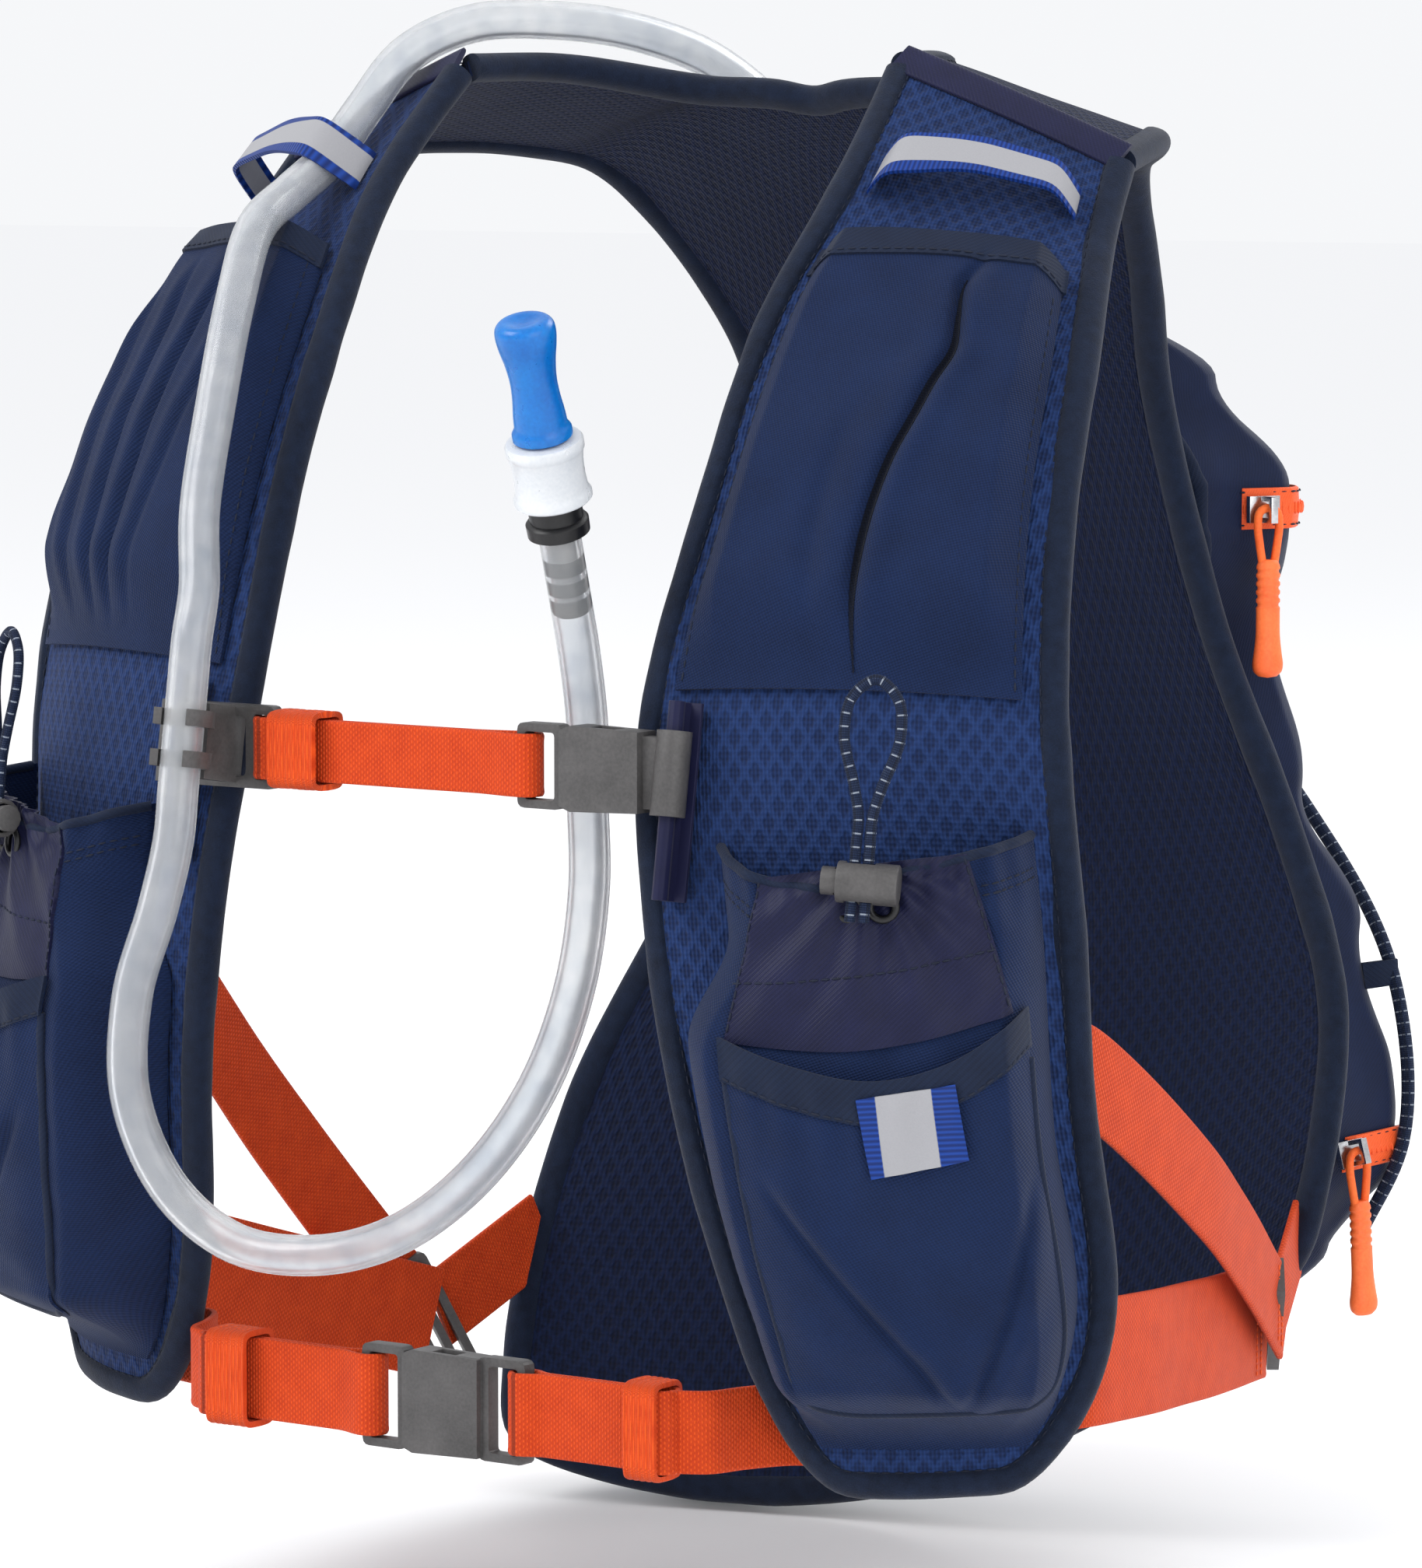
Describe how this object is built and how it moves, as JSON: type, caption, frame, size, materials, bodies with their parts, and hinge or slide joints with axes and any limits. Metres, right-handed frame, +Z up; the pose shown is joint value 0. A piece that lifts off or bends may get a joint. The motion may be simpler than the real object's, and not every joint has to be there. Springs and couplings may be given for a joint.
{
  "type": "hydration pack",
  "caption": "Running hydration vest with bottle pockets, a zipped rear pouch holding a water reservoir, a drink hose with bite valve, and buckled chest and waist straps.",
  "frame": {"origin": "between the shoulders, level with the top of the shoulder straps, where the vest rests on its wearer", "axes": "+Z up, the vest's front faces -Y, +X to the wearer's left"},
  "size_m": [0.3254, 0.3449, 0.4093],
  "materials": {
    "mesh": "warp-knit diamond mesh over foam",
    "binding": "padded knitted binding with a stitch groove",
    "reflective": "reflective tape with ribbed edges",
    "stretch": "fine stretch mesh",
    "tape": "woven tape",
    "webbing": "ribbed woven webbing",
    "plastic": "satin moulded",
    "pack": "ripstop and stretch mesh",
    "zip": "coated zip tape",
    "steel": "polished",
    "grip": "moulded rubber grip on cord",
    "bungee": "braided elastic cord with light flecks",
    "reservoir": "soft translucent film",
    "hose": "clear flexible tube",
    "black": "satin moulded",
    "collar": "translucent moulded",
    "silicone": "smooth translucent silicone"
  },
  "bodies": {
    "vest": {"back_panel": "mesh", "neck_binding": "binding", "back_binding": "binding", "front_panel_left": "mesh", "front_panel_right": "mesh", "front_binding_left": "binding", "front_binding_right": "binding", "reflective_loop_left": "reflective", "reflective_loop_right": "reflective", "upper_pocket_left": "stretch", "upper_pocket_right": "stretch", "bottle_pocket_left": "stretch", "bottle_pocket_right": "stretch", "small_pocket_left": "stretch", "small_pocket_right": "stretch", "chest_rail_left": "tape", "chest_rail_right": "tape", "waist_webbing_right": "webbing", "waist_webbing_left": "webbing", "waist_buckle_female": "plastic", "pack_shell": "pack", "upper_zip": "zip", "lower_zip": "zip", "back_bungee": "bungee", "reservoir": "reservoir", "reservoir_closure": "plastic", "reservoir_hose": "hose", "drink_hose": "hose", "hose_connector": "black", "bungee_loop_left": "bungee", "bungee_loop_right": "bungee", "side_strap_upper_left": "webbing", "side_strap_lower_left": "webbing", "side_slider_left": "plastic", "side_tab_left": "webbing", "side_strap_upper_right": "webbing", "side_strap_lower_right": "webbing", "side_slider_right": "plastic", "side_tab_right": "webbing"},
    "chest_strap": {"chest_hook": "plastic", "chest_webbing": "webbing", "chest_buckle_female": "plastic"},
    "chest_male": {"chest_buckle_male": "plastic"},
    "chest_keeper": {"chest_keeper": "webbing"},
    "waist_male": {"waist_buckle_male": "plastic"},
    "waist_keeper_left": {"waist_keeper_left": "webbing"},
    "waist_keeper_right": {"waist_keeper_right": "webbing"},
    "cord_lock_left": {"cord_lock_body_left": "plastic", "cord_lock_spring_left": "steel"},
    "cord_lock_right": {"cord_lock_body_right": "plastic", "cord_lock_spring_right": "steel"},
    "plunger_left": {"cord_lock_plunger_left": "plastic"},
    "plunger_right": {"cord_lock_plunger_right": "plastic"},
    "upper_slider": {"upper_zip_slider": "steel"},
    "lower_slider": {"lower_zip_slider": "steel"},
    "upper_pull": {"upper_zip_pull": "grip"},
    "lower_pull": {"lower_zip_pull": "grip"},
    "bite_valve": {"valve_collar": "collar", "mouthpiece": "silicone"}
  },
  "joints": [
    {"name": "chest_strap_height", "type": "slide", "parent": "vest", "child": "chest_strap", "axis": [0, -0.1541, -0.9881], "range_m": [-0.006, 0.016]},
    {"name": "chest_buckle_release", "type": "slide", "parent": "chest_strap", "child": "chest_male", "axis": [-1, 0, 0], "range_m": [0, 0.022], "deforming": ["chest_webbing"]},
    {"name": "chest_keeper_slide", "type": "slide", "parent": "chest_strap", "child": "chest_keeper", "axis": [1, 0, 0], "range_m": [-0.0005, 0.034]},
    {"name": "waist_buckle_release", "type": "slide", "parent": "vest", "child": "waist_male", "axis": [-1, 0, 0], "range_m": [0, 0.022], "deforming": ["waist_webbing_right"]},
    {"name": "waist_keeper_left_slide", "type": "slide", "parent": "vest", "child": "waist_keeper_left", "axis": [-1, 0, 0], "range_m": [-0.001, 0.03]},
    {"name": "waist_keeper_right_slide", "type": "slide", "parent": "vest", "child": "waist_keeper_right", "axis": [1, 0, 0], "range_m": [-0.004, 0.01]},
    {"name": "cord_lock_left_slide", "type": "slide", "parent": "vest", "child": "cord_lock_left", "axis": [0, 0.1483, 0.9889], "range_m": [0, 0.009]},
    {"name": "plunger_left_press", "type": "slide", "parent": "cord_lock_left", "child": "plunger_left", "axis": [0.8997, 0.4316, -0.0647], "range_m": [0, 0.0025], "stiffness_N_per_m": 200, "springref_m": -0.0015, "deforming": ["cord_lock_spring_left"]},
    {"name": "cord_lock_right_slide", "type": "slide", "parent": "vest", "child": "cord_lock_right", "axis": [0, 0.1483, 0.9889], "range_m": [0, 0.009]},
    {"name": "plunger_right_press", "type": "slide", "parent": "cord_lock_right", "child": "plunger_right", "axis": [-0.8997, 0.4316, -0.0647], "range_m": [0, 0.0025], "stiffness_N_per_m": 200, "springref_m": -0.0015, "deforming": ["cord_lock_spring_right"]},
    {"name": "upper_zip_slide", "type": "slide", "parent": "vest", "child": "upper_slider", "axis": [0.4942, 0.8694, 0.0005], "range_m": [-0.002, 0.003]},
    {"name": "upper_pull_swing", "type": "hinge", "parent": "upper_slider", "child": "upper_pull", "pos_m": [0.07841, 0.15688, -0.11892], "axis": [-0.4942, -0.8694, -0.0005], "range_deg": [0, 140]},
    {"name": "lower_zip_slide", "type": "slide", "parent": "vest", "child": "lower_slider", "axis": [0.2526, 0.9653, 0.0664], "range_m": [-0.008, 0.002]},
    {"name": "lower_pull_swing", "type": "hinge", "parent": "lower_slider", "child": "lower_pull", "pos_m": [0.096, 0.17578, -0.28913], "axis": [-0.2526, -0.9653, -0.0664], "range_deg": [0, 140]},
    {"name": "bite_valve_open", "type": "slide", "parent": "vest", "child": "bite_valve", "axis": [0.0888, -0.3758, 0.9225], "range_m": [0, 0.004]}
  ]
}
